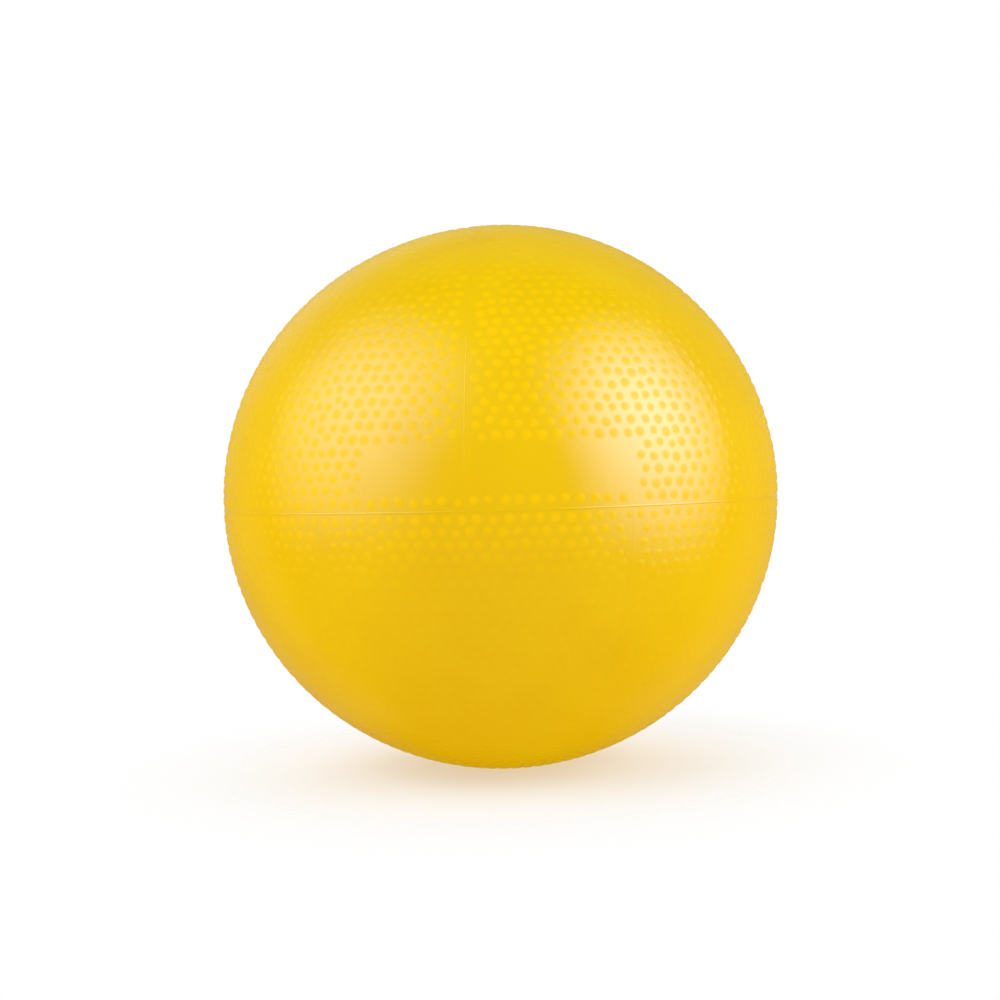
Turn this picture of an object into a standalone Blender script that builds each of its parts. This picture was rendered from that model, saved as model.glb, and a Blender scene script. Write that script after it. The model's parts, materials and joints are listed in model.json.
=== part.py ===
"""A soft exercise ball: a hollow moulded skin, a valve neck bonded into it, and a push-in plug.

Metres, +Z up. The origin is the middle of the flat patch that the ball rests on. The valve sits on
the upper back of the ball, on the +Y side, square to the skin.
"""
import bmesh
import bpy
from math import acos, asin, atan2, cos, pi, radians, sin, sqrt, tan

# Skin
EQUATOR_DIAMETER = 0.250
REST_HEIGHT = 0.2455
SKIN_WALL = 0.0008
PATCH_RADIUS = 0.0125

# Parting ridge, the line of flash where the two halves of the mould met
SEAM_DROP = 0.003
SEAM_WIDTH = 0.0012
SEAM_HEIGHT = 0.0004

# Plug
PLUG_HEAD_RADIUS = 0.0055
PLUG_HEAD_THICKNESS = 0.0016
PLUG_HEAD_PROUD = 0.0004
PLUG_HEAD_ROUND = 0.0004
PLUG_SHANK_RADIUS = 0.0022
PLUG_SHANK_LENGTH = 0.0135
PLUG_BARB_RADIUS = 0.0025
PLUG_BARB_LENGTH = 0.0016
PLUG_BARB_PITCH = 0.0032
PLUG_BARBS = 3
PLUG_TIP_RADIUS = 0.0014
PLUG_TIP_TAPER = 0.0020

# Valve neck
VALVE_ELEVATION = radians(32)
NECK_RIM_WALL = 0.0018
NECK_FLANGE_REACH = 0.0045
NECK_FLANGE_THICKNESS = 0.0012
NECK_FLOOR = 0.0014
NECK_SLEEVE_WALL = 0.0016
NECK_SLEEVE_LENGTH = 0.0115

# Gap left between pieces that touch
FIT_GAP = 0.0003

# Facets
BALL_STEPS = 64
BALL_RINGS = 32
VALVE_STEPS = 40

# Ellipse of the skin's outer face: half width, half height and the height of its centre
half_width = EQUATOR_DIAMETER / 2
patch_angle = acos(PATCH_RADIUS / half_width)
half_height = REST_HEIGHT / (1 + sin(patch_angle))
centre_z = half_height * sin(patch_angle)

# Depth by which a flat facet of the ball can cut inside the true curve, across and along the rings
facet_sag = half_width * ((1 - cos(pi / BALL_STEPS)) + (1 - cos(pi / (2 * BALL_RINGS))))

# Valve: where its axis meets the skin, and the tightest curve of the skin there
valve_angle = atan2(half_height * sin(VALVE_ELEVATION), half_width * cos(VALVE_ELEVATION))
valve_point = (0, half_width * cos(valve_angle), centre_z + half_height * sin(valve_angle))
along_curve = ((half_width * sin(valve_angle)) ** 2 + (half_height * cos(valve_angle)) ** 2) ** 1.5
along_curve /= half_width * half_height
across_curve = valve_point[1] / cos(VALVE_ELEVATION)
skin_curve = min(along_curve, across_curve)

# Radii and depths that the neck takes from the plug and the skin
bore_radius = PLUG_BARB_RADIUS + FIT_GAP
recess_radius = PLUG_HEAD_RADIUS + FIT_GAP
rim_radius = recess_radius + NECK_RIM_WALL
flange_radius = rim_radius + NECK_FLANGE_REACH
sleeve_radius = bore_radius + NECK_SLEEVE_WALL
head_bottom = PLUG_HEAD_PROUD - PLUG_HEAD_THICKNESS
recess_floor = head_bottom - FIT_GAP


def clear_scene():
    """Removes every object and the collections left empty by that."""
    for thing in list(bpy.data.objects):
        bpy.data.objects.remove(thing, do_unlink=True)
    for group in list(bpy.data.collections):
        bpy.data.collections.remove(group)


def new_collection(name):
    """Adds a collection to the scene."""
    group = bpy.data.collections.new(name)
    bpy.context.scene.collection.children.link(group)
    return group


def plastic(name, colour, roughness):
    """A plain coloured plastic."""
    material = bpy.data.materials.new(name)
    material.use_nodes = True
    shader = material.node_tree.nodes["Principled BSDF"]
    shader.inputs["Base Color"].default_value = (*colour, 1)
    shader.inputs["Roughness"].default_value = roughness
    shader.inputs["Metallic"].default_value = 0
    return material


def turned(name, profile, steps, group, closed=False):
    """A turned piece. The profile is a list of (radius, height), down the outer side."""
    count = len(profile)
    edges = [(i, i + 1) for i in range(count - 1)]
    if closed:
        edges.append((count - 1, 0))
    mesh = bpy.data.meshes.new(name)
    mesh.from_pydata([(radius, 0, height) for radius, height in profile], edges, [])
    piece = bpy.data.objects.new(name, mesh)
    group.objects.link(piece)
    screw = piece.modifiers.new("turn", "SCREW")
    screw.axis = "Z"
    screw.angle = 2 * pi
    screw.steps = steps
    screw.render_steps = steps
    screw.use_merge_vertices = True
    screw.merge_threshold = 0.00001
    screw.use_smooth_shade = True
    return piece


def cut(piece, cutter):
    """Cuts one piece with a hidden one."""
    cutter.hide_render = True
    cutter.display_type = "WIRE"
    boolean = piece.modifiers.new("cut " + cutter.name, "BOOLEAN")
    boolean.operation = "DIFFERENCE"
    boolean.solver = "EXACT"
    boolean.object = cutter


def ellipse_arc(width, height, start, end, rings):
    """Points of an upright ellipse round the ball's centre, between two angles above its equator."""
    angles = [start + (end - start) * i / rings for i in range(rings + 1)]
    return [(width * cos(angle), centre_z + height * sin(angle)) for angle in angles]


def skin_outside():
    """Outer face: upper half, parting ridge, lower half and the flat patch that it rests on."""
    seam_angle = asin(-SEAM_DROP / half_height)
    upper_foot = asin((SEAM_WIDTH / 2 - SEAM_DROP) / half_height)
    lower_foot = asin((-SEAM_WIDTH / 2 - SEAM_DROP) / half_height)
    upper = ellipse_arc(half_width, half_height, pi / 2, upper_foot, BALL_RINGS // 2)
    lower = ellipse_arc(half_width, half_height, lower_foot, -patch_angle, BALL_RINGS // 2)
    crest = (half_width * cos(seam_angle) + SEAM_HEIGHT, centre_z - SEAM_DROP)
    upper[0] = (0, REST_HEIGHT)
    lower[-1] = (PATCH_RADIUS, 0)
    return [*upper, crest, *lower, (0, 0)]


def skin_inside():
    """Inner face, one wall inside the outer one and flat over the patch."""
    width = half_width - SKIN_WALL
    height = half_height - SKIN_WALL
    floor_angle = asin((SKIN_WALL - centre_z) / height)
    arc = ellipse_arc(width, height, pi / 2, floor_angle, BALL_RINGS)
    arc[0] = (0, REST_HEIGHT - SKIN_WALL)
    return [*arc, (0, SKIN_WALL)]


def valve_hole(group):
    """Round cutter on the valve's axis, as long as the hole is wide."""
    radius = rim_radius + FIT_GAP
    shape = bmesh.new()
    bmesh.ops.create_cone(
        shape, cap_ends=True, segments=VALVE_STEPS, radius1=radius, radius2=radius, depth=2 * radius
    )
    mesh = bpy.data.meshes.new("valve_hole")
    shape.to_mesh(mesh)
    shape.free()
    cutter = bpy.data.objects.new("valve_hole", mesh)
    group.objects.link(cutter)
    return cutter


def skin_drop(radius):
    """Depth of the skin's curve below the valve's outer end, at a radius from its axis."""
    return skin_curve - sqrt(skin_curve ** 2 - radius ** 2)


def neck_profile():
    """Section of the neck: rim in the skin's hole, flange behind the skin, and sleeve with its bore."""
    behind_skin = -SKIN_WALL - facet_sag - FIT_GAP
    flange_inner = behind_skin - skin_drop(rim_radius)
    flange_outer = behind_skin - skin_drop(flange_radius)
    underside = min(flange_outer - NECK_FLANGE_THICKNESS, recess_floor - NECK_FLOOR)
    sleeve_end = underside - NECK_SLEEVE_LENGTH
    return [
        (recess_radius, -skin_drop(recess_radius)),
        (rim_radius, -skin_drop(rim_radius)),
        (rim_radius, flange_inner),
        (flange_radius, flange_outer),
        (flange_radius, flange_outer - NECK_FLANGE_THICKNESS),
        (rim_radius, underside),
        (sleeve_radius, underside),
        (sleeve_radius, sleeve_end),
        (bore_radius, sleeve_end),
        (bore_radius, recess_floor),
        (recess_radius, recess_floor),
    ]


def plug_profile():
    """Section of the plug: round head, shank with barbs, and a tapered tip."""
    tip = head_bottom - PLUG_SHANK_LENGTH
    points = [
        (0, PLUG_HEAD_PROUD),
        (PLUG_HEAD_RADIUS - PLUG_HEAD_ROUND, PLUG_HEAD_PROUD),
        (PLUG_HEAD_RADIUS, PLUG_HEAD_PROUD - PLUG_HEAD_ROUND),
        (PLUG_HEAD_RADIUS, head_bottom),
        (PLUG_SHANK_RADIUS, head_bottom),
    ]
    last_barb = tip + PLUG_TIP_TAPER + PLUG_BARB_LENGTH
    for index in reversed(range(PLUG_BARBS)):
        barb = last_barb + index * PLUG_BARB_PITCH
        points.append((PLUG_SHANK_RADIUS, barb))
        points.append((PLUG_BARB_RADIUS, barb))
        points.append((PLUG_SHANK_RADIUS, barb - PLUG_BARB_LENGTH))
    points.append((PLUG_TIP_RADIUS, tip))
    points.append((0, tip))
    return points


clear_scene()
parts = new_collection("pilates_ball")
cutters = new_collection("cutters")

skin_pvc = plastic("yellow_soft_pvc", (0.86, 0.50, 0.012), 0.38)
neck_pvc = plastic("yellow_neck_pvc", (0.84, 0.47, 0.012), 0.45)
plug_plastic = plastic("white_polyethylene", (0.80, 0.79, 0.75), 0.40)

# Frame of the valve: its origin on the skin, its Z axis out along the way the plug pulls
valve_frame = bpy.data.objects.new("valve_frame", None)
valve_frame.location = valve_point
valve_frame.rotation_euler = (VALVE_ELEVATION - pi / 2, 0, 0)
parts.objects.link(valve_frame)

ball_skin = turned("ball_skin", skin_outside(), BALL_STEPS, parts)
air_space = turned("air_space", skin_inside(), BALL_STEPS, cutters)
hole = valve_hole(cutters)
hole.parent = valve_frame
cut(ball_skin, air_space)
cut(ball_skin, hole)
ball_skin.data.materials.append(skin_pvc)

valve_neck = turned("valve_neck", neck_profile(), VALVE_STEPS, parts, closed=True)
valve_neck.parent = valve_frame
valve_neck.data.materials.append(neck_pvc)

valve_plug = turned("valve_plug", plug_profile(), VALVE_STEPS, parts)
valve_plug.parent = valve_frame
valve_plug.data.materials.append(plug_plastic)
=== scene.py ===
"""Looks of a soft yellow pilates ball: pimpled PVC skin, valve neck and plug, on a pale studio floor."""
import bpy
import json
import math
import numpy as np
from mathutils import Matrix, Vector, kdtree
from mathutils.geometry import delaunay_2d_cdt


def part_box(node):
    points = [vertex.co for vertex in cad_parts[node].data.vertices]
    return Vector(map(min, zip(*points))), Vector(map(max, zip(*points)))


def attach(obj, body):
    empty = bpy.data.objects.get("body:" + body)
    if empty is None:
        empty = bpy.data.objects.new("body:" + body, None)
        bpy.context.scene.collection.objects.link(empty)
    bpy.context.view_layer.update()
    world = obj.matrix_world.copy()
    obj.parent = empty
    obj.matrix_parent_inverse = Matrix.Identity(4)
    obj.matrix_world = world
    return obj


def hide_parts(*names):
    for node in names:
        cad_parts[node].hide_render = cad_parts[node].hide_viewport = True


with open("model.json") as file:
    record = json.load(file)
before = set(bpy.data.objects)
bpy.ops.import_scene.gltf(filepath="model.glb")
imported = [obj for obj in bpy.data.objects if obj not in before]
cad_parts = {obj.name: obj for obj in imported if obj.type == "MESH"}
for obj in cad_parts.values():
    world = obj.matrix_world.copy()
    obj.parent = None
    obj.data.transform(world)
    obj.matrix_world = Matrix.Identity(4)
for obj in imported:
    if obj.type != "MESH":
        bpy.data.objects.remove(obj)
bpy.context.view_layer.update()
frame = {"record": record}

# Ball skin
# One hollow skin of soft PVC, 0.8 mm thick, cast from a paste in a heated two-part mould that keeps
# turning. The mould gives it its pimples, the flash round its equator, the fine lines between the mould's
# gores and the smooth panel at the front. Its weight flattens the patch that it stands on.
MM = 0.001
EQUATOR_DIAMETER = 250 * MM
SKIN_WALL = 0.8 * MM
PATCH_RADIUS = 12.5 * MM

# Inner face: how many points it has, and how many of the hole's radii they stay clear of the hole's middle
INNER_POINTS = 1100
INNER_CLEARANCE = 1.8

# Distance below which two points of a face, laid out flat, count as one
SAME_POINT = 1e-7

# Soft as it is, the skin isn't quite round: it lies about 1 mm flat over its upper left
FLAT_PLACE = (math.radians(-90), math.radians(73))
FLAT_DEPTH = 1.15 * MM
FLAT_REACH = math.radians(20)

# Hole for the valve, the smooth place round it, and the ring where the neck's flange shows through
HOLE_RADIUS = 7.9 * MM
HOLE_POINTS = 48
VALVE_SURROUND = 15.5 * MM
FLANGE_MARK_RADIUS = 12.3 * MM
FLANGE_MARK_WIDTH = 1.8 * MM
FLANGE_MARK_HEIGHT = 0.18 * MM

# Parting line of the mould's two halves, and the lines between the gores of each half
SEAM_DROP = 3.0 * MM
SEAM_WIDTH = 1.1 * MM
SEAM_HEIGHT = 0.20 * MM
SEAM_TO_UPPER_ROW = 4.1 * MM
SEAM_TO_LOWER_ROW = 3.1 * MM
SEAM_POINTS_PER_PIMPLE = 3
GORES = 6
GORE_PIMPLES = 22
GORE_LINE_WIDTH = 1.0 * MM
GORE_LINE_HEIGHT = 0.07 * MM
GORE_LINE_START = 1.6 * MM
GORE_LINE_END = 8 * MM
GORE_LINE_TOP = math.radians(64)
GORE_LINE_FADE = math.radians(16)
UPPER_LINE = math.radians(-6.2)
LOWER_LINE = math.radians(24.5)
LOWER_LINE_OVERRUN = 8.5 * MM
LINE_STEP = 2.3 * MM
LINE_FINE_STEP = 0.2 * LINE_STEP
LINE_GUIDE_STEP = 3 * LINE_STEP

# Section of a low ridge: place as a share of its width, lift as a share of its height, and its lean
RIDGE_SECTION = ((-0.5, 0, 0), (-0.22, 0.85, -1), (0.22, 0.85, 1), (0.5, 0, 0))

# Smooth panel at the front, which has no pimples
PANEL_AZIMUTHS = (math.radians(-25.7), math.radians(25.7))
PANEL_LATITUDES = (math.radians(1.6), math.radians(11.6))

# Pimples stand in rows, but the mould's pits were sunk by eye: they stray from the rows and differ in size.
# Room and clearances are shares of the gap to the next pimple, of the pitch and of a ridge's width.
PIMPLE_PITCH = 5.9 * MM
PIMPLE_ROW = 5.1 * MM
PIMPLE_RADIUS = 2.5 * MM
PIMPLE_HEIGHT = 0.30 * MM
PIMPLE_STRAY = 1.3 * MM
PIMPLE_SETTLED_STRAY = 0.34 * MM
PIMPLE_SIZES = (0.80, 1.08)
PIMPLE_ROOM = 0.48
PIMPLE_TO_LINE = 0.4
PIMPLE_TO_RIDGE = 0.6
SMALLEST_PIMPLE = 0.5
FEWEST_IN_ROW = 3
LAST_ROW = math.radians(89)

# Rings of points on a pimple: share of its radius, points, and shares of its height and of its slope
PIMPLE_RINGS = ((0.5, 6, 1.0, 0.8), (1.0, 8, 0.0, 0.0))

# How pimples push each other to an even spacing: reach in pitches, strength, rounds, and the rounds that the
# pairs of neighbours, found within a wider reach, are good for
PUSH_REACH = 1.3
PUSH_STRENGTH = 0.3
PUSH_ROUNDS = 24
PAIR_REACH = 1.25
PAIR_ROUNDS = 10

rng = np.random.default_rng(7)
rest_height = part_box("ball_skin")[1][2]
half_width = EQUATOR_DIAMETER / 2
patch_sine = math.sqrt(1 - (PATCH_RADIUS / half_width) ** 2)
half_height = rest_height / (1 + patch_sine)
centre_z = half_height * patch_sine
seam_latitude = math.asin(-SEAM_DROP / half_height)
pull = Vector(frame["record"]["behaviour"]["joints"][0]["axis"]).normalized()
valve_toward = np.array([0, pull.y * half_width, pull.z * half_height])
valve_toward /= np.linalg.norm(valve_toward)


def unit(vectors):
    """Vectors at length one."""
    return vectors / np.linalg.norm(vectors, axis=-1, keepdims=True)


def toward(azimuth, latitude):
    """Unit vectors from the ball's centre. Azimuth 0 is the front and grows to the right."""
    azimuth, latitude = np.broadcast_arrays(azimuth, latitude)
    level = np.cos(latitude)
    return np.stack([np.sin(azimuth) * level, -np.cos(azimuth) * level, np.sin(latitude)], axis=-1)


def azimuth_latitude(towards):
    """The angles that toward() takes."""
    return np.arctan2(towards[:, 0], -towards[:, 1]), np.arcsin(np.clip(towards[:, 2], -1, 1))


def on_skin(towards, inset=0.0):
    """Points and outward normals of a skin with no pimples, sunk a little over its flat place."""
    axes = np.array([half_width - inset, half_width - inset, half_height - inset])
    points = towards * axes + np.array([0, 0, centre_z])
    normals = unit(towards / axes)
    middle = toward(*FLAT_PLACE)
    angle = np.arccos(np.clip(towards @ middle, -1, 1))[..., None]
    depth = FLAT_DEPTH * np.exp(-0.5 * (angle / FLAT_REACH) ** 2)
    inward = middle - towards * np.cos(angle)
    lean = depth / FLAT_REACH ** 2 / half_width * inward
    return points - depth * normals, unit(normals + lean)


def tangents(towards):
    """Two directions along the skin, square to each other."""
    aside = unit(np.cross(towards, np.where(np.abs(towards[:, 2:]) < 0.9, [0, 0, 1], [1, 0, 0])))
    return aside, np.cross(towards, aside)


def from_toward(towards, middle):
    """Distance along the skin from each point to one place."""
    return np.arccos(np.clip(towards @ middle, -1, 1)) * half_width


def gore_lines():
    """Start angle of each line between the mould's gores, which half it is in, and how far it starts from
    the parting line. Every other line of the lower half runs over into the upper one."""
    lines = []
    for gore in range(GORES):
        turn = 2 * math.pi * gore / GORES
        lines.append((UPPER_LINE + turn, 1, GORE_LINE_START))
        lines.append((LOWER_LINE + turn, -1, GORE_LINE_START if gore % 2 else -LOWER_LINE_OVERRUN))
    return lines


def pimple_rows(half, first, gap):
    """Rows of pimples from the parting line to a pole, each half a pitch round from the last."""
    rows = []
    latitude = first
    while abs(latitude) < LAST_ROW:
        count = max(round(2 * math.pi * math.cos(latitude) * half_width / PIMPLE_PITCH), FEWEST_IN_ROW)
        if not rows:
            count = GORES * GORE_PIMPLES
        shift = gap + (0.5 if len(rows) % 2 == 0 else 0.0) * 2 * math.pi / count
        rows.append(toward(shift + 2 * math.pi * np.arange(count) / count, latitude))
        latitude += half * PIMPLE_ROW / half_width
    return rows


def point_tree(points):
    """Points sorted for quick search."""
    tree = kdtree.KDTree(len(points))
    for index, point in enumerate(points):
        tree.insert(point, index)
    tree.balance()
    return tree


def near_pairs(points, reach):
    """Pairs of points closer than a distance."""
    tree = point_tree(points)
    pairs = [
        (index, other)
        for index, point in enumerate(points)
        for _, other, _ in tree.find_range(point, reach)
        if other > index
    ]
    return np.array(pairs)


def spread(points, loose):
    """Lets the loose points push each other to an even spacing round the fixed ones."""
    reach = PUSH_REACH * PIMPLE_PITCH / half_width
    for step in range(PUSH_ROUNDS):
        if step % PAIR_ROUNDS == 0:
            one, two = near_pairs(points, PAIR_REACH * reach).T
        gap = points[one] - points[two]
        length = np.linalg.norm(gap, axis=1, keepdims=True)
        shove = gap / length * np.clip(1 - length / reach, 0, None) ** 2 * PUSH_STRENGTH * reach
        move = np.zeros_like(points)
        np.add.at(move, one, shove)
        np.add.at(move, two, -shove)
        points[loose] += move[loose]
        points = unit(points)
    return points


def line_points(step):
    """Points along every line of the mould."""
    lines = []
    for azimuth, half, start in gore_lines():
        steps = np.arange(start, half_width * GORE_LINE_TOP, step) / half_width
        lines.append(toward(azimuth, seam_latitude + half * steps))
    return np.concatenate(lines)


def from_points(points, others):
    """Distance along the skin from each point to the nearest of the others."""
    tree = point_tree(others)
    return np.array([tree.find(point)[2] for point in points]) * half_width


def pimple_places():
    """Where the pimples are, the room each has, and the points of the smooth places between them."""
    upper = pimple_rows(1, seam_latitude + SEAM_TO_UPPER_ROW / half_width, UPPER_LINE)
    lower = pimple_rows(-1, seam_latitude - SEAM_TO_LOWER_ROW / half_width, LOWER_LINE)
    lines = line_points(LINE_FINE_STEP)
    guides = line_points(LINE_GUIDE_STEP)
    fixed = np.concatenate([upper[0], lower[0]])
    loose = np.concatenate(upper[1:] + lower[1:])
    loose = unit(loose + rng.normal(0, PIMPLE_STRAY / half_width, loose.shape))
    loose = loose[from_points(loose, lines) > PIMPLE_TO_LINE * PIMPLE_PITCH]
    points = np.concatenate([loose, fixed, guides])
    points = spread(points, np.arange(len(points)) < len(loose))
    points = points[: len(loose) + len(fixed)]
    points = unit(points + rng.normal(0, PIMPLE_SETTLED_STRAY / half_width, points.shape))
    azimuth, latitude = azimuth_latitude(points)
    tree = point_tree(points)
    room = np.array([tree.find_n(point, 2)[1][2] for point in points]) * half_width * PIMPLE_ROOM
    room = np.minimum(room, from_points(points, lines) - PIMPLE_TO_RIDGE * GORE_LINE_WIDTH)
    from_seam = np.abs(latitude - seam_latitude) * half_width
    room = np.minimum(room, from_seam - PIMPLE_TO_RIDGE * SEAM_WIDTH)
    in_panel = (azimuth > PANEL_AZIMUTHS[0]) & (azimuth < PANEL_AZIMUTHS[1])
    in_panel &= (latitude > PANEL_LATITUDES[0]) & (latitude < PANEL_LATITUDES[1])
    from_valve = from_toward(points, valve_toward)
    from_patch = from_toward(points, np.array([0, 0, -1]))
    bare = in_panel | (from_valve < VALVE_SURROUND) | (from_patch < PATCH_RADIUS + PIMPLE_RADIUS)
    roomy = room > SMALLEST_PIMPLE * PIMPLE_RADIUS
    filler = points[bare & roomy & (from_valve > FLANGE_MARK_RADIUS + PIMPLE_RADIUS)]
    kept = ~bare & roomy
    return points[kept], room[kept], filler


class SkinPoints:
    """Points of the skin's outer face: where, how far each stands out and how it leans. A point on a pimple
    also has its place from the pimple's middle, in radii, and a number that is above 0 inside its foot."""

    def __init__(self):
        self.towards, self.lifts, self.leans, self.pimples, self.runs = [], [], [], [], []
        self.count = 0

    def add(self, towards, lift=0.0, lean=(0, 0, 0), pimple=(0, 0, 0)):
        """Adds points and returns their numbers."""
        self.towards.append(towards)
        self.lifts.append(np.broadcast_to(lift, len(towards)))
        self.leans.append(np.broadcast_to(lean, towards.shape))
        self.pimples.append(np.broadcast_to(pimple, towards.shape))
        first = self.count
        self.count += len(towards)
        return np.arange(first, self.count)

    def add_run(self, towards, lift, lean, closed):
        """Adds points along a line that the faces keep to."""
        numbers = self.add(towards, lift, lean)
        edges = np.stack([numbers, np.roll(numbers, -1)], axis=1)
        self.runs.append(edges if closed else edges[:-1])


def add_pimples(skin, centres, room):
    """Low round pimples with a soft foot: a ring round the flat of the crown and a ring at the foot."""
    aside, along = tangents(centres)
    turn = rng.uniform(0, 2 * math.pi, (len(centres), 1, 1))
    radius = PIMPLE_RADIUS * rng.uniform(*PIMPLE_SIZES, len(centres))
    reach = np.minimum(radius, room)[:, None, None] / half_width
    for share, count, lift, slope in PIMPLE_RINGS:
        angle = turn + 2 * math.pi * np.arange(count)[None, :, None] / count
        outward = np.cos(angle) * aside[:, None] + np.sin(angle) * along[:, None]
        ring = unit(centres[:, None] + share * reach * outward)
        lean = slope * PIMPLE_HEIGHT / PIMPLE_RADIUS * outward
        pimple = np.concatenate([share * np.cos(angle), share * np.sin(angle), 0 * angle + lift], axis=2)
        ring, lean, pimple = ring.reshape(-1, 3), lean.reshape(-1, 3), pimple.reshape(-1, 3)
        numbers = skin.add(ring, lift * PIMPLE_HEIGHT, lean, pimple).reshape(-1, count)
    skin.runs.append(np.stack([numbers, np.roll(numbers, -1, axis=1)], axis=2).reshape(-1, 2))


def add_ridge(skin, middle, across, width, height, closed):
    """A low round ridge: two feet and two shoulders along a line."""
    steep = 2 * height / width
    for share, lift, lean in RIDGE_SECTION:
        side = unit(middle + across * share * width / half_width)
        skin.add_run(side, height * lift, across * (lean * steep)[:, None], closed)


def add_gore_line(skin, azimuth, way, climb, height):
    """A fine ridge up or down from the parting line, broken off at the mould's insert for the valve."""
    middle = toward(azimuth, seam_latitude + way * climb)
    aside = np.broadcast_to(toward(azimuth + math.pi / 2, 0.0), middle.shape)
    from_valve = from_toward(middle, valve_toward)
    clear = from_valve > VALVE_SURROUND
    height = height * np.clip((from_valve - VALVE_SURROUND) / GORE_LINE_END, 0, 1)
    for run in np.split(np.arange(len(climb)), np.flatnonzero(np.diff(clear)) + 1):
        if clear[run[0]] and len(run) > 1:
            add_ridge(skin, middle[run], aside[run], GORE_LINE_WIDTH, height[run], False)


def around_valve(radius):
    """Points of a circle round the valve's axis."""
    aside, along = tangents(valve_toward[None])
    angle = 2 * math.pi * np.arange(HOLE_POINTS)[:, None] / HOLE_POINTS
    outward = np.cos(angle) * aside + np.sin(angle) * along
    return unit(valve_toward + math.tan(radius / half_width) * outward)


def outer_points():
    """Every point of the outer face, with the lines that faces keep to."""
    skin = SkinPoints()
    skin.add(around_valve(HOLE_RADIUS))
    pimples, room, filler = pimple_places()
    add_pimples(skin, pimples, room)
    skin.add(filler)
    ring = around_valve(FLANGE_MARK_RADIUS)
    outward = unit(ring - valve_toward * (ring @ valve_toward)[:, None])
    add_ridge(skin, ring, outward, FLANGE_MARK_WIDTH, np.full(len(ring), FLANGE_MARK_HEIGHT), True)
    count = GORES * GORE_PIMPLES * SEAM_POINTS_PER_PIMPLE
    middle = toward(2 * math.pi * np.arange(count) / count, seam_latitude)
    up = np.broadcast_to(np.array([0.0, 0.0, 1.0]), middle.shape)
    add_ridge(skin, middle, up, SEAM_WIDTH, np.full(count, SEAM_HEIGHT), True)
    for azimuth, half, start in gore_lines():
        climb = np.arange(GORE_LINE_START, half_width * GORE_LINE_TOP, LINE_STEP) / half_width
        fade = np.clip((GORE_LINE_TOP - climb) / GORE_LINE_FADE, 0, 1)
        add_gore_line(skin, azimuth, half, climb, GORE_LINE_HEIGHT * fade)
        if start < 0:
            climb = np.arange(GORE_LINE_START, LOWER_LINE_OVERRUN, LINE_STEP) / half_width
            fade = 1 - climb * half_width / LOWER_LINE_OVERRUN
            add_gore_line(skin, azimuth, 1, climb, GORE_LINE_HEIGHT * fade)
    return skin


def skin_faces(towards, runs):
    """Triangles between points on a ball with one hole, which lie flat when seen from the hole's middle."""
    aside, along = tangents(valve_toward[None])
    away = 1 - towards @ valve_toward
    flat = np.stack([towards @ aside[0] / away, towards @ along[0] / away], axis=1)
    made = delaunay_2d_cdt([Vector(p) for p in flat], runs, [], 0, SAME_POINT)
    if len(made[0]) != len(towards):
        raise ValueError("two lines of the skin cross or two of its points coincide")
    number = [originals[0] for originals in made[3]]
    faces = np.array([[number[corner] for corner in face] for face in made[2]])
    a, b, c = towards[faces[0]]
    return faces if np.dot(np.cross(b - a, c - a), a) > 0 else faces[:, ::-1]


def inner_points():
    """Evenly spread points of the smooth inner face, after the circle of the hole."""
    index = np.arange(INNER_POINTS) + 0.5
    azimuth = math.pi * (1 + math.sqrt(5)) * index
    even = toward(azimuth, np.arcsin(1 - 2 * index / INNER_POINTS))
    clear = from_toward(even, valve_toward) > INNER_CLEARANCE * HOLE_RADIUS
    return np.concatenate([around_valve(HOLE_RADIUS), even[clear]])


def skin_mesh():
    """The whole skin: outer face, inner face and the wall of the valve's hole."""
    skin = outer_points()
    towards = np.concatenate(skin.towards)
    points, normals = on_skin(towards)
    points = points + normals * np.concatenate(skin.lifts)[:, None]
    leaning = unit(normals + np.concatenate(skin.leans))
    pressed = points[:, 2] < 0
    points[pressed, 2] = 0
    leaning[pressed] = (0, 0, -1)
    outer = skin_faces(towards, np.concatenate(skin.runs).tolist())
    inside = inner_points()
    inner, inner_normals = on_skin(inside, SKIN_WALL)
    inner[:, 2] = np.maximum(inner[:, 2], SKIN_WALL)
    inner_faces = skin_faces(inside, [])[:, ::-1] + len(points)
    ring = np.arange(HOLE_POINTS)
    follow = np.roll(ring, -1)
    wall = np.stack([ring, follow, follow + len(points), ring + len(points)], axis=1)
    a, b, c = points[wall[0, 0]], points[wall[0, 1]], inner[0]
    middle = valve_toward * half_width + np.array([0, 0, centre_z])
    if np.dot(np.cross(b - a, c - a), middle - a) < 0:
        wall = wall[:, ::-1]
    mesh = bpy.data.meshes.new("ball_skin_pimpled")
    faces = outer.tolist() + inner_faces.tolist() + wall.tolist()
    mesh.from_pydata(np.concatenate([points, inner]).tolist(), [], faces)
    mesh.shade_smooth()
    mesh.normals_split_custom_set_from_vertices(np.concatenate([leaning, -inner_normals]).tolist())
    pimples = np.concatenate([*skin.pimples, np.broadcast_to([0, 0, 1], inner.shape)])
    mesh.attributes.new("pimple", "FLOAT_VECTOR", "POINT").data.foreach_set("vector", pimples.ravel())
    return mesh


def linear(code):
    """Linear colour from an sRGB hex code."""
    parts = [int(code[i:i + 2], 16) / 255 for i in (0, 2, 4)]
    return tuple(p / 12.92 if p <= 0.04045 else ((p + 0.055) / 1.055) ** 2.4 for p in parts) + (1.0,)


def add_node(tree, kind, links=None, **settings):
    """Adds a node, sets its properties and inputs, and links other nodes' outputs into it."""
    node = tree.nodes.new(kind)
    for name, value in settings.items():
        if hasattr(node, name):
            setattr(node, name, value)
        else:
            node.inputs[name.replace("_", " ")].default_value = value
    for name, socket in (links or {}).items():
        tree.links.new(socket, node.inputs[name])
    return node


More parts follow.
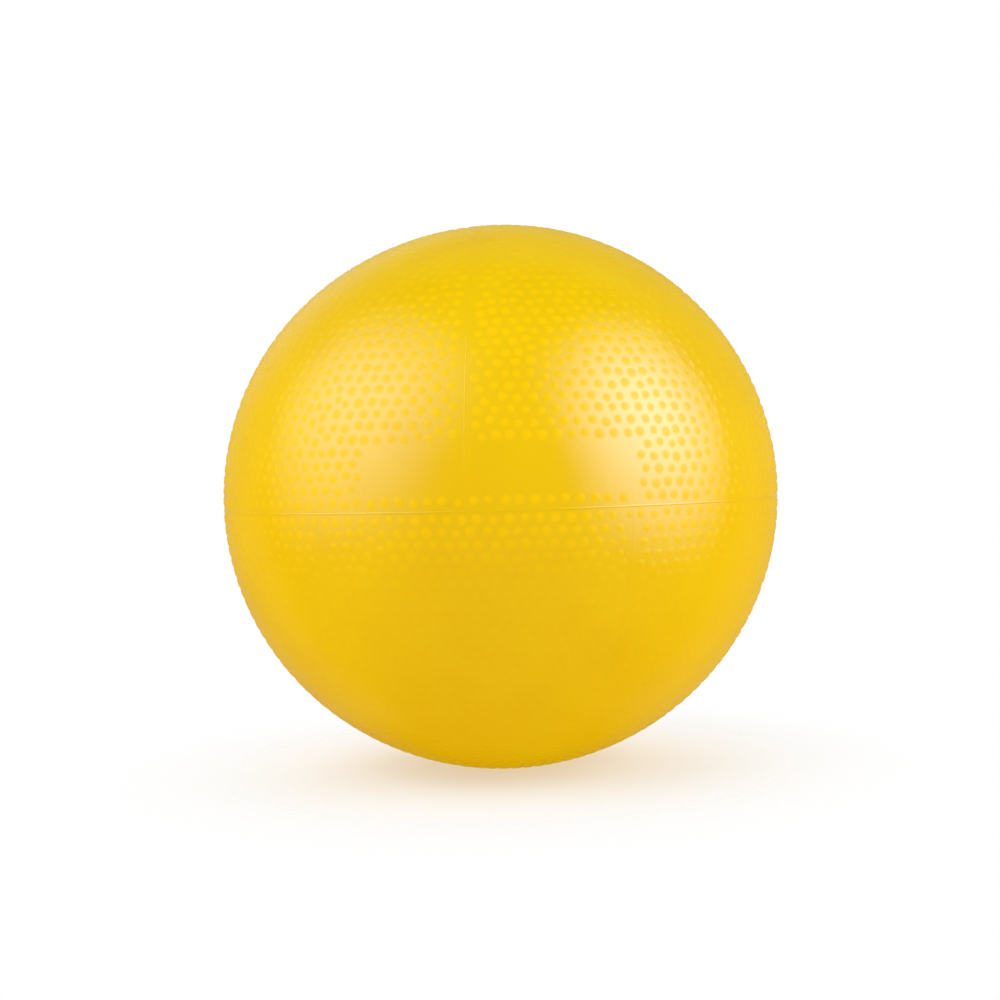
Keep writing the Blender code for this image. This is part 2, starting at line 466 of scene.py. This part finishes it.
# Finish of the skin: the sizes of its clouds, polish and orange peel, and the share of it that pearl flakes
# cover, on the polished skin and on the etched face of a pimple
SKIN_COLOURS = ("EDC101", "F1C803")
SKIN_ROUGHNESS = (0.52, 0.62)
SKIN_CLOUD = 45 * MM
SKIN_POLISH = 14 * MM
SKIN_PEEL = 1.6 * MM
SKIN_PEEL_DEPTH = 0.12 * MM
PVC_IOR = 1.53
PEARL_IOR = 2.4
PEARL_ROUGHNESS = 0.13
PEARL_COVER = 0.66
ETCHED_COVER = 0.2

# Etched face of a pimple, in radii, and how the etching fades below the ball's middle and at a grazing view
PIMPLE_FACE = (0.48, 1.11)
ON_PIMPLE = 0.001
LOWER_ETCH = 0.2
ETCH_FADE = (4 * MM, 33 * MM)
GRAZING = (0.29, 0.58)
GRAZING_ETCH = 0.15

# Values that most of a noise pattern lies between
NOISE_SPAN = (0.3, 0.7)


def cast_pvc():
    """Cast soft PVC with a pearl pigment, flakes of mica in a shell of titania. The flakes lie flat against
    the polished mould and cover most of the surface like a bright coat, which gives it a satin gleam. The
    pits of the pimples were etched, more so in the upper half. Their faces stay dull, show as deeper yellow
    spots in a gleam, and turn glossy at a grazing view. The paste sets with faint clouds in its colour and a
    slight orange peel."""
    material = bpy.data.materials.new("cast_soft_pvc_yellow")
    material.use_nodes = True
    tree = material.node_tree
    shader = tree.nodes["Principled BSDF"]
    shader.inputs["IOR"].default_value = PVC_IOR
    shader.inputs["Specular IOR Level"].default_value = 0.0
    shader.inputs["Coat IOR"].default_value = PEARL_IOR
    shader.inputs["Coat Roughness"].default_value = PEARL_ROUGHNESS
    place = add_node(tree, "ShaderNodeTexCoord").outputs["Object"]
    clouds = add_node(
        tree, "ShaderNodeTexNoise", {"Vector": place}, Scale=1 / SKIN_CLOUD, Detail=4.0, Roughness=0.6
    )
    colour = add_node(tree, "ShaderNodeValToRGB", {"Fac": clouds.outputs["Fac"]})
    for stop, position, code in zip(colour.color_ramp.elements, NOISE_SPAN, SKIN_COLOURS):
        stop.position = position
        stop.color = linear(code)
    tree.links.new(colour.outputs["Color"], shader.inputs["Base Color"])
    pimple = add_node(tree, "ShaderNodeAttribute", attribute_name="pimple").outputs["Vector"]
    level = add_node(tree, "ShaderNodeVectorMath", {0: pimple}, operation="MULTIPLY")
    level.inputs[1].default_value = (1, 1, 0)
    away = add_node(tree, "ShaderNodeVectorMath", {0: level.outputs["Vector"]}, operation="LENGTH")
    crown = add_node(
        tree, "ShaderNodeMapRange", {"Value": away.outputs["Value"]}, interpolation_type="SMOOTHSTEP",
        From_Min=PIMPLE_FACE[1], From_Max=PIMPLE_FACE[0]
    )
    part = add_node(tree, "ShaderNodeSeparateXYZ", {"Vector": pimple})
    raised = add_node(tree, "ShaderNodeMath", {0: part.outputs["Z"]}, operation="GREATER_THAN")
    raised.inputs[1].default_value = ON_PIMPLE
    face = add_node(
        tree, "ShaderNodeMath", {0: crown.outputs["Result"], 1: raised.outputs["Value"]},
        operation="MULTIPLY"
    )
    spot = add_node(tree, "ShaderNodeSeparateXYZ", {"Vector": place})
    etching = add_node(
        tree, "ShaderNodeMapRange", {"Value": spot.outputs["Z"]}, interpolation_type="SMOOTHSTEP",
        From_Min=centre_z - ETCH_FADE[1], From_Max=centre_z - ETCH_FADE[0], To_Min=LOWER_ETCH
    )
    etched = add_node(
        tree, "ShaderNodeMath", {0: face.outputs["Value"], 1: etching.outputs["Result"]},
        operation="MULTIPLY"
    )
    facing = add_node(tree, "ShaderNodeLayerWeight", Blend=0.5)
    direct = add_node(
        tree, "ShaderNodeMapRange", {"Value": facing.outputs["Facing"]}, interpolation_type="SMOOTHSTEP",
        From_Min=GRAZING[0], From_Max=GRAZING[1], To_Min=1.0, To_Max=GRAZING_ETCH
    )
    dull = add_node(
        tree, "ShaderNodeMath", {0: etched.outputs["Value"], 1: direct.outputs["Result"]},
        operation="MULTIPLY"
    )
    polish = add_node(tree, "ShaderNodeTexNoise", {"Vector": place}, Scale=1 / SKIN_POLISH, Detail=3.0)
    rough = add_node(
        tree, "ShaderNodeMapRange", {"Value": polish.outputs["Fac"]},
        From_Min=NOISE_SPAN[0], From_Max=NOISE_SPAN[1], To_Min=SKIN_ROUGHNESS[0], To_Max=SKIN_ROUGHNESS[1]
    )
    tree.links.new(rough.outputs["Result"], shader.inputs["Roughness"])
    cover = add_node(
        tree, "ShaderNodeMapRange", {"Value": dull.outputs["Value"]}, To_Min=PEARL_COVER, To_Max=ETCHED_COVER
    )
    tree.links.new(cover.outputs["Result"], shader.inputs["Coat Weight"])
    peel = add_node(tree, "ShaderNodeTexNoise", {"Vector": place}, Scale=1 / SKIN_PEEL, Detail=2.0)
    bump = add_node(
        tree, "ShaderNodeBump", {"Height": peel.outputs["Fac"]}, Strength=0.3, Distance=SKIN_PEEL_DEPTH
    )
    tree.links.new(bump.outputs["Normal"], shader.inputs["Normal"])
    tree.links.new(bump.outputs["Normal"], shader.inputs["Coat Normal"])
    return material


ball_skin = bpy.data.objects.new("ball_skin_pimpled", skin_mesh())
bpy.context.scene.collection.objects.link(ball_skin)
ball_skin.data.materials.append(cast_pvc())
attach(ball_skin, "ball")
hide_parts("ball_skin")

# Valve neck
# A soft PVC grommet, moulded on its own and welded into the skin's hole. Its flange sits behind the skin,
# its sleeve hangs into the air space and grips the plug, and a thin bead of weld closes its rim to the skin.
NECK_COLOURS = ("E6B005", "EDBA0A")
NECK_ROUGHNESS = (0.40, 0.55)
NECK_CLOUD = 6 * MM
NECK_GRAIN = 0.4 * MM
NECK_GRAIN_DEPTH = 0.05 * MM
VALVE_STEPS = 72
CORNER_STEPS = 5
ROUNDING_ROOM = 0.49

# Corners of the neck's section: radius, height along the valve's axis and rounding, in mm
NECK_SECTION = (
    (5.8, -0.14, 0.30), (6.9, -0.04, 1.20), (8.3, -0.34, 0.10), (7.6, -0.60, 0.15), (7.6, -1.64, 0.30),
    (12.1, -2.00, 0.25), (12.1, -3.20, 0.35), (4.4, -3.20, 0.80), (4.4, -14.70, 0.40), (2.8, -14.70, 0.35),
    (2.8, -1.50, 0.30), (5.8, -1.50, 0.35),
)


def rounded(corners, closed):
    """Points and normals along a section whose corners are arcs."""
    spots = np.array([corner[:2] for corner in corners])
    points, normals = [], []
    for index, (_, _, rounding) in enumerate(corners):
        here = spots[index]
        before = spots[index - 1]
        after = spots[(index + 1) % len(corners)]
        if not closed and index in (0, len(corners) - 1):
            along = unit(after - here) if index == 0 else unit(here - before)
            points.append(here)
            normals.append([-along[1], along[0]])
            continue
        back, on = unit(before - here), unit(after - here)
        half = math.acos(np.clip(back @ on, -1, 1)) / 2
        room = ROUNDING_ROOM * min(np.linalg.norm(before - here), np.linalg.norm(after - here))
        cut = min(rounding / math.tan(half), room)
        start, end = -back, on
        turned_by = math.atan2(start[0] * end[1] - start[1] * end[0], start @ end)
        radius = cut * math.tan(half)
        side = math.copysign(1.0, turned_by)
        centre = here + back * cut + side * radius * np.array([-start[1], start[0]])
        for step in range(CORNER_STEPS + 1):
            angle = turned_by * step / CORNER_STEPS
            along = np.array([
                start[0] * math.cos(angle) - start[1] * math.sin(angle),
                start[0] * math.sin(angle) + start[1] * math.cos(angle),
            ])
            across = np.array([-along[1], along[0]])
            points.append(centre - side * radius * across)
            normals.append(across)
    return np.array(points) * MM, np.array(normals)


def turned(name, corners, closed):
    """A piece turned from its section round the valve's axis, with the section's own normals."""
    points, normals = rounded(corners, closed)
    turn = 2 * math.pi * np.arange(VALVE_STEPS) / VALVE_STEPS
    spots, leans, rings = [], [], []
    for (radius, height), (out, up) in zip(points, normals):
        count = VALVE_STEPS if radius > 0 else 1
        rings.append(len(spots) + np.arange(VALVE_STEPS) % count)
        spots += [(radius * math.cos(a), radius * math.sin(a), height) for a in turn[:count]]
        leans += [(out * math.cos(a), out * math.sin(a), up) for a in turn[:count]]
    pairs = list(zip(rings, rings[1:] + rings[:1]))
    faces = []
    for upper, lower in pairs if closed else pairs[:-1]:
        for step in range(VALVE_STEPS):
            follow = (step + 1) % VALVE_STEPS
            face = [upper[step], lower[step], lower[follow], upper[follow]]
            faces.append(list(dict.fromkeys(int(corner) for corner in face)))
    mesh = bpy.data.meshes.new(name)
    mesh.from_pydata(spots, [], faces)
    mesh.shade_smooth()
    mesh.normals_split_custom_set_from_vertices(leans)
    foot = Vector(on_skin(valve_toward)[0].tolist())
    mesh.transform(Matrix.Translation(foot) @ pull.to_track_quat("Z", "Y").to_matrix().to_4x4())
    piece = bpy.data.objects.new(name, mesh)
    bpy.context.scene.collection.objects.link(piece)
    return piece


def moulded_pvc():
    """Soft PVC from a blasted mould: a little deeper in colour than the skin, satin, with a fine grain. The
    grain is about 0.1 mm on the real piece, and is drawn at 0.4 mm so that it shows."""
    material = bpy.data.materials.new("moulded_soft_pvc_yellow")
    material.use_nodes = True
    tree = material.node_tree
    shader = tree.nodes["Principled BSDF"]
    shader.inputs["IOR"].default_value = PVC_IOR
    place = add_node(tree, "ShaderNodeTexCoord").outputs["Object"]
    clouds = add_node(tree, "ShaderNodeTexNoise", {"Vector": place}, Scale=1 / NECK_CLOUD, Detail=3.0)
    colour = add_node(tree, "ShaderNodeValToRGB", {"Fac": clouds.outputs["Fac"]})
    for stop, position, code in zip(colour.color_ramp.elements, NOISE_SPAN, NECK_COLOURS):
        stop.position = position
        stop.color = linear(code)
    tree.links.new(colour.outputs["Color"], shader.inputs["Base Color"])
    grain = add_node(tree, "ShaderNodeTexNoise", {"Vector": place}, Scale=1 / NECK_GRAIN, Detail=3.0)
    rough = add_node(
        tree, "ShaderNodeMapRange", {"Value": grain.outputs["Fac"]},
        From_Min=NOISE_SPAN[0], From_Max=NOISE_SPAN[1], To_Min=NECK_ROUGHNESS[0], To_Max=NECK_ROUGHNESS[1]
    )
    tree.links.new(rough.outputs["Result"], shader.inputs["Roughness"])
    bump = add_node(
        tree, "ShaderNodeBump", {"Height": grain.outputs["Fac"]}, Strength=0.3, Distance=NECK_GRAIN_DEPTH
    )
    tree.links.new(bump.outputs["Normal"], shader.inputs["Normal"])
    return material


valve_neck = turned("valve_neck_welded", NECK_SECTION, True)
valve_neck.data.materials.append(moulded_pvc())
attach(valve_neck, "ball")
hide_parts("valve_neck")

# Valve plug
# A push-in stopper of white polyethylene, moulded in one shot: a round head with a raised rim and the mark
# of the gate in its dish, a shank with three barbs that hold it in the neck's bore, and a tapered tip.
PLUG_COLOURS = ("DEDBD0", "E6E4DB")
PLUG_ROUGHNESS = (0.30, 0.45)
PLUG_FLOW = 3 * MM
PLUG_SCUFF = 0.5 * MM
PLUG_SCUFF_DEPTH = 0.03 * MM
POLYETHYLENE_IOR = 1.51

# Corners of the plug's section, as for the neck: head, three barbs at their heights, and tip
PLUG_BARBS = (-4.7, -7.9, -11.1)
PLUG_SECTION = [
    (0, -0.10, 0), (0.6, -0.10, 0.10), (0.75, -0.30, 0.10), (3.5, -0.30, 0.50), (4.1, 0.40, 0.35),
    (5.5, 0.40, 0.45), (5.5, -1.20, 0.25), (2.2, -1.20, 0.50),
]
for barb in PLUG_BARBS:
    PLUG_SECTION += [(2.2, barb, 0.12), (2.5, barb, 0.08), (2.2, barb - 1.6, 0.40)]
PLUG_SECTION += [(1.4, -14.7, 0.35), (0, -14.7, 0)]


def moulded_polyethylene():
    """Natural white polyethylene: milky and a little waxy, with soft gloss, faint clouds where the melt
    flowed in from the gate, and fine scuffs from fingers and pumps, drawn at 0.5 mm so that they show."""
    material = bpy.data.materials.new("moulded_polyethylene_white")
    material.use_nodes = True
    tree = material.node_tree
    shader = tree.nodes["Principled BSDF"]
    shader.inputs["IOR"].default_value = POLYETHYLENE_IOR
    place = add_node(tree, "ShaderNodeTexCoord").outputs["Object"]
    flow = add_node(
        tree, "ShaderNodeTexNoise", {"Vector": place}, Scale=1 / PLUG_FLOW, Detail=3.0, Distortion=0.6
    )
    colour = add_node(tree, "ShaderNodeValToRGB", {"Fac": flow.outputs["Fac"]})
    for stop, position, code in zip(colour.color_ramp.elements, NOISE_SPAN, PLUG_COLOURS):
        stop.position = position
        stop.color = linear(code)
    tree.links.new(colour.outputs["Color"], shader.inputs["Base Color"])
    scuffs = add_node(tree, "ShaderNodeTexNoise", {"Vector": place}, Scale=1 / PLUG_SCUFF, Detail=4.0)
    rough = add_node(
        tree, "ShaderNodeMapRange", {"Value": scuffs.outputs["Fac"]},
        From_Min=NOISE_SPAN[0], From_Max=NOISE_SPAN[1], To_Min=PLUG_ROUGHNESS[0], To_Max=PLUG_ROUGHNESS[1]
    )
    tree.links.new(rough.outputs["Result"], shader.inputs["Roughness"])
    bump = add_node(
        tree, "ShaderNodeBump", {"Height": scuffs.outputs["Fac"]}, Strength=0.2, Distance=PLUG_SCUFF_DEPTH
    )
    tree.links.new(bump.outputs["Normal"], shader.inputs["Normal"])
    return material


valve_plug = turned("valve_plug_barbed", PLUG_SECTION, False)
valve_plug.data.materials.append(moulded_polyethylene())
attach(valve_plug, "plug")
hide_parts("valve_plug")

# Studio
# A round table top of pale paper fades into a white backdrop. Soft boxes beside and behind the ball light
# it, and warm light comes back up from the table. Its gloss shows the left, right and back gleams and a
# veil from the backdrop, with none at its foot, and neither the paper nor the dark front of the room.
FLOOR_RADIUS = 1.8
FLOOR_STEPS = 96
FLOOR_DROP = 0.2 * MM
FLOOR_FADE = (0.04, 0.20)
FLOOR_VEIL = 0.35
PAPER_COLOURS = ("EFEFEF", "F2F2F2")
PAPER_FIBRE = 3 * MM
PAPER_ROUGHNESS = 0.95
PAPER_IOR = 1.3


def seamless_paper():
    """Matt white paper that fades out towards the edge of the table top. Its faint fibre is under 1 mm on
    real paper, and is drawn at 3 mm so that it shows."""
    material = bpy.data.materials.new("seamless_paper")
    material.use_nodes = True
    tree = material.node_tree
    shader = tree.nodes["Principled BSDF"]
    shader.inputs["Roughness"].default_value = PAPER_ROUGHNESS
    shader.inputs["IOR"].default_value = PAPER_IOR
    place = add_node(tree, "ShaderNodeTexCoord").outputs["Object"]
    fibre = add_node(tree, "ShaderNodeTexNoise", {"Vector": place}, Scale=1 / PAPER_FIBRE, Detail=4.0)
    colour = add_node(tree, "ShaderNodeValToRGB", {"Fac": fibre.outputs["Fac"]})
    for stop, code in zip(colour.color_ramp.elements, PAPER_COLOURS):
        stop.color = linear(code)
    tree.links.new(colour.outputs["Color"], shader.inputs["Base Color"])
    away = add_node(tree, "ShaderNodeVectorMath", {0: place}, operation="LENGTH").outputs["Value"]
    fade = add_node(
        tree, "ShaderNodeMapRange", {"Value": away}, interpolation_type="SMOOTHSTEP",
        From_Min=FLOOR_FADE[0], From_Max=FLOOR_FADE[1], To_Min=FLOOR_VEIL
    )
    rays = add_node(tree, "ShaderNodeLightPath")
    unlit = add_node(tree, "ShaderNodeMath", {0: rays.outputs["Is Diffuse Ray"]}, operation="LESS_THAN")
    unlit.inputs[1].default_value = 0.5
    gone = add_node(
        tree, "ShaderNodeMath", {0: fade.outputs["Result"], 1: unlit.outputs["Value"]}, operation="MULTIPLY"
    )
    clear = add_node(tree, "ShaderNodeBsdfTransparent")
    both = add_node(
        tree, "ShaderNodeMixShader",
        {0: gone.outputs["Value"], 1: shader.outputs["BSDF"], 2: clear.outputs["BSDF"]}
    )
    tree.links.new(both.outputs["Shader"], tree.nodes["Material Output"].inputs["Surface"])
    return material


turn = 2 * math.pi * np.arange(FLOOR_STEPS) / FLOOR_STEPS
rim = np.stack([FLOOR_RADIUS * np.cos(turn), FLOOR_RADIUS * np.sin(turn), 0 * turn], axis=1)
floor_mesh = bpy.data.meshes.new("table_top")
floor_mesh.from_pydata(rim.tolist(), [], [list(range(FLOOR_STEPS))])
floor_mesh.materials.append(seamless_paper())
floor = bpy.data.objects.new("table_top", floor_mesh)
floor.location.z = -FLOOR_DROP
floor.visible_glossy = False
floor.visible_diffuse = False
bpy.context.scene.collection.objects.link(floor)

# Light that the room sends to the ball, from the front, the backdrop and the table, and where the last two
# begin and are full: how far back, and how far down, a ray from the ball goes
FRONT_FILL = 0.44
BACK_FILL = 1.35
TABLE_FILL = 1.13
BACK_SPAN = (0.33, 1.0)
TABLE_SPAN = (0.08, -0.25)
TABLE_TINT = "FFEED2"

# Veil of the pale backdrop in the gloss, by how far back a ray goes, and the dark round the foot: its
# width, its slope, and where the veil begins and is full above it
PALE_BACKDROP = ((0.25, 0.002), (0.5, 0.08), (0.75, 0.12), (1.0, 0.34))
FOOT_WIDTH = 0.25
FOOT_SLOPE = 2.4
FOOT_SPAN = (0.1, 0.65)

world = bpy.data.worlds.new("white_backdrop")
bpy.context.scene.world = world
world.use_nodes = True
world.cycles.sampling_method = "NONE"
tree = world.node_tree
rays = add_node(tree, "ShaderNodeLightPath")
sky = add_node(tree, "ShaderNodeTexCoord").outputs["Generated"]
way = add_node(tree, "ShaderNodeSeparateXYZ", {"Vector": sky})
behind = add_node(
    tree, "ShaderNodeMapRange", {"Value": way.outputs["Y"]}, interpolation_type="SMOOTHSTEP",
    From_Min=BACK_SPAN[0], From_Max=BACK_SPAN[1], To_Min=FRONT_FILL, To_Max=BACK_FILL
)
low = add_node(
    tree, "ShaderNodeMapRange", {"Value": way.outputs["Z"]}, interpolation_type="SMOOTHSTEP",
    From_Min=TABLE_SPAN[0], From_Max=TABLE_SPAN[1]
)
below = add_node(
    tree, "ShaderNodeMapRange", {"Value": low.outputs["Result"]}, To_Min=FRONT_FILL, To_Max=TABLE_FILL
)
fill = add_node(
    tree, "ShaderNodeMath", {0: behind.outputs["Result"], 1: below.outputs["Result"]}, operation="MAXIMUM"
)
veil = add_node(tree, "ShaderNodeValToRGB", {"Fac": way.outputs["Y"]})
stops = veil.color_ramp.elements
while len(stops) < len(PALE_BACKDROP):
    stops.new(0.5)
for stop, (depth, shine) in zip(stops, PALE_BACKDROP):
    stop.position = depth
    stop.color = (shine, shine, shine, 1.0)
sideways = add_node(tree, "ShaderNodeCombineXYZ", {"X": way.outputs["X"]}, Y=FOOT_WIDTH)
aside = add_node(tree, "ShaderNodeVectorMath", {0: sideways.outputs["Vector"]}, operation="LENGTH")
from_foot = add_node(
    tree, "ShaderNodeMath", {0: aside.outputs["Value"], 2: way.outputs["Z"]}, operation="MULTIPLY_ADD"
)
from_foot.inputs[1].default_value = FOOT_SLOPE
above_foot = add_node(
    tree, "ShaderNodeMapRange", {"Value": from_foot.outputs["Value"]}, interpolation_type="SMOOTHSTEP",
    From_Min=FOOT_SPAN[0], From_Max=FOOT_SPAN[1]
)
gleam = add_node(
    tree, "ShaderNodeMath", {0: veil.outputs["Color"], 1: above_foot.outputs["Result"]},
    operation="MULTIPLY"
)
light = add_node(
    tree, "ShaderNodeMix",
    {"Factor": rays.outputs["Is Glossy Ray"], "A": fill.outputs["Value"], "B": gleam.outputs["Value"]}
)
seen = add_node(
    tree, "ShaderNodeMath", {0: rays.outputs["Is Camera Ray"], 1: rays.outputs["Is Transmission Ray"]},
    operation="MAXIMUM"
)
strength = add_node(
    tree, "ShaderNodeMix", {"Factor": seen.outputs["Value"], "A": light.outputs["Result"]}, B=1.0
)
bounce = add_node(
    tree, "ShaderNodeMath", {0: low.outputs["Result"], 1: rays.outputs["Is Diffuse Ray"]},
    operation="MULTIPLY"
)
tint = add_node(tree, "ShaderNodeValToRGB", {"Fac": bounce.outputs["Value"]})
tint.color_ramp.elements[0].color = linear("FFFFFF")
tint.color_ramp.elements[1].color = linear(TABLE_TINT)
tree.links.new(tint.outputs["Color"], tree.nodes["Background"].inputs["Color"])
tree.links.new(strength.outputs["Result"], tree.nodes["Background"].inputs["Strength"])

# Soft boxes: azimuth and elevation in degrees, distance, width, height, brightness, and whether the box
# shows in the gloss alone or lights the ball alone
BOX_SIDE_FADE = 0.5
BOX_TOP_FADE = 0.52
BOX_FOOT_FADE = 0.67
LIGHT_COLOUR = "FBFEFF"
GLEAM_COLOUR = "D4E2FF"
SOFT_BOXES = (
    ("left_box", -57, 32, 1.40, 2.7, 2.6, 3.6, False),
    ("right_box", 70, 19, 1.40, 2.1, 2.2, 4.5, False),
    ("back_box", 180, 36, 1.40, 1.8, 1.6, 1.8, False),
    ("left_gleam", -65, 27, 1.36, 2.7, 2.9, 1.86, True),
    ("right_gleam", 65.5, 20.5, 1.36, 2.4, 2.8, 4.05, True),
    ("back_gleam", -155, 26, 1.36, 1.7, 1.4, 0.36, True),
)


def soft_box(name, azimuth, elevation, distance, width, height, radiance, gloss_only):
    """A large lamp that faces the ball, brightest in its middle, with fading sides, top and foot."""
    lamp = bpy.data.lights.new(name, "AREA")
    lamp.shape = "RECTANGLE"
    lamp.size = width
    lamp.size_y = height
    lamp.energy = radiance * math.pi * width * height
    lamp.color = linear(GLEAM_COLOUR if gloss_only else LIGHT_COLOUR)[:3]
    lamp.use_nodes = True
    tree = lamp.node_tree
    sheet = add_node(tree, "ShaderNodeNewGeometry").outputs["Parametric"]
    spot = add_node(tree, "ShaderNodeSeparateXYZ", {"Vector": sheet})
    face = None
    for axis, edge, inside in (
        ("X", 0.0, BOX_SIDE_FADE), ("X", 1.0, 1 - BOX_SIDE_FADE),
        ("Y", 1.0, 1 - BOX_TOP_FADE), ("Y", 0.0, BOX_FOOT_FADE),
    ):
        fade = add_node(
            tree, "ShaderNodeMapRange", {"Value": spot.outputs[axis]}, interpolation_type="SMOOTHSTEP",
            From_Min=edge, From_Max=inside
        ).outputs["Result"]
        if face is not None:
            both = add_node(tree, "ShaderNodeMath", {0: face, 1: fade}, operation="MULTIPLY")
            fade = both.outputs["Value"]
        face = fade
    tree.links.new(face, tree.nodes["Emission"].inputs["Strength"])
    box = bpy.data.objects.new(name, lamp)
    out = Vector(toward(math.radians(azimuth), math.radians(elevation)).tolist())
    box.location = Vector((0, 0, centre_z)) + out * distance
    box.rotation_euler = out.to_track_quat("Z", "Y").to_euler()
    box.visible_camera = False
    box.visible_diffuse = not gloss_only
    box.visible_glossy = gloss_only
    bpy.context.scene.collection.objects.link(box)


for box in SOFT_BOXES:
    soft_box(*box)

# Camera
# It stands a little above the parting line and leans a little to the right. Its lens and shift put the
# ball's outline, which pimples make a little wider than the skin, at its place in the frame.
CAMERA_DISTANCE = 0.75
CAMERA_ELEVATION = math.radians(1.2)
CAMERA_ROLL = math.radians(1.65)
FRAME_PIXELS = 1000
OUTLINE_HALF_WIDTH = 277.0
OUTLINE_CENTRE = (500.6, 495.9)
OUTLINE_PIMPLE = 0.8
SENSOR = 36.0
outline_radius = half_width + OUTLINE_PIMPLE * PIMPLE_HEIGHT
spread_angle = math.asin(outline_radius / CAMERA_DISTANCE)
focal_pixels = OUTLINE_HALF_WIDTH / math.tan(spread_angle)
lens = bpy.data.cameras.new("camera")
lens.sensor_width = SENSOR
lens.lens = focal_pixels * SENSOR / FRAME_PIXELS
lens.shift_x = (FRAME_PIXELS / 2 - OUTLINE_CENTRE[0]) / FRAME_PIXELS
lens.shift_y = (OUTLINE_CENTRE[1] - FRAME_PIXELS / 2) / FRAME_PIXELS
camera = bpy.data.objects.new("camera", lens)
back = Vector(toward(0.0, CAMERA_ELEVATION).tolist())
camera.location = Vector((0, 0, centre_z)) + back * CAMERA_DISTANCE
look = back.to_track_quat("Z", "Y").to_matrix() @ Matrix.Rotation(-CAMERA_ROLL, 3, "Z")
camera.rotation_euler = look.to_euler()
bpy.context.scene.collection.objects.link(camera)
bpy.context.scene.camera = camera
bpy.context.scene.view_settings.view_transform = "Standard"
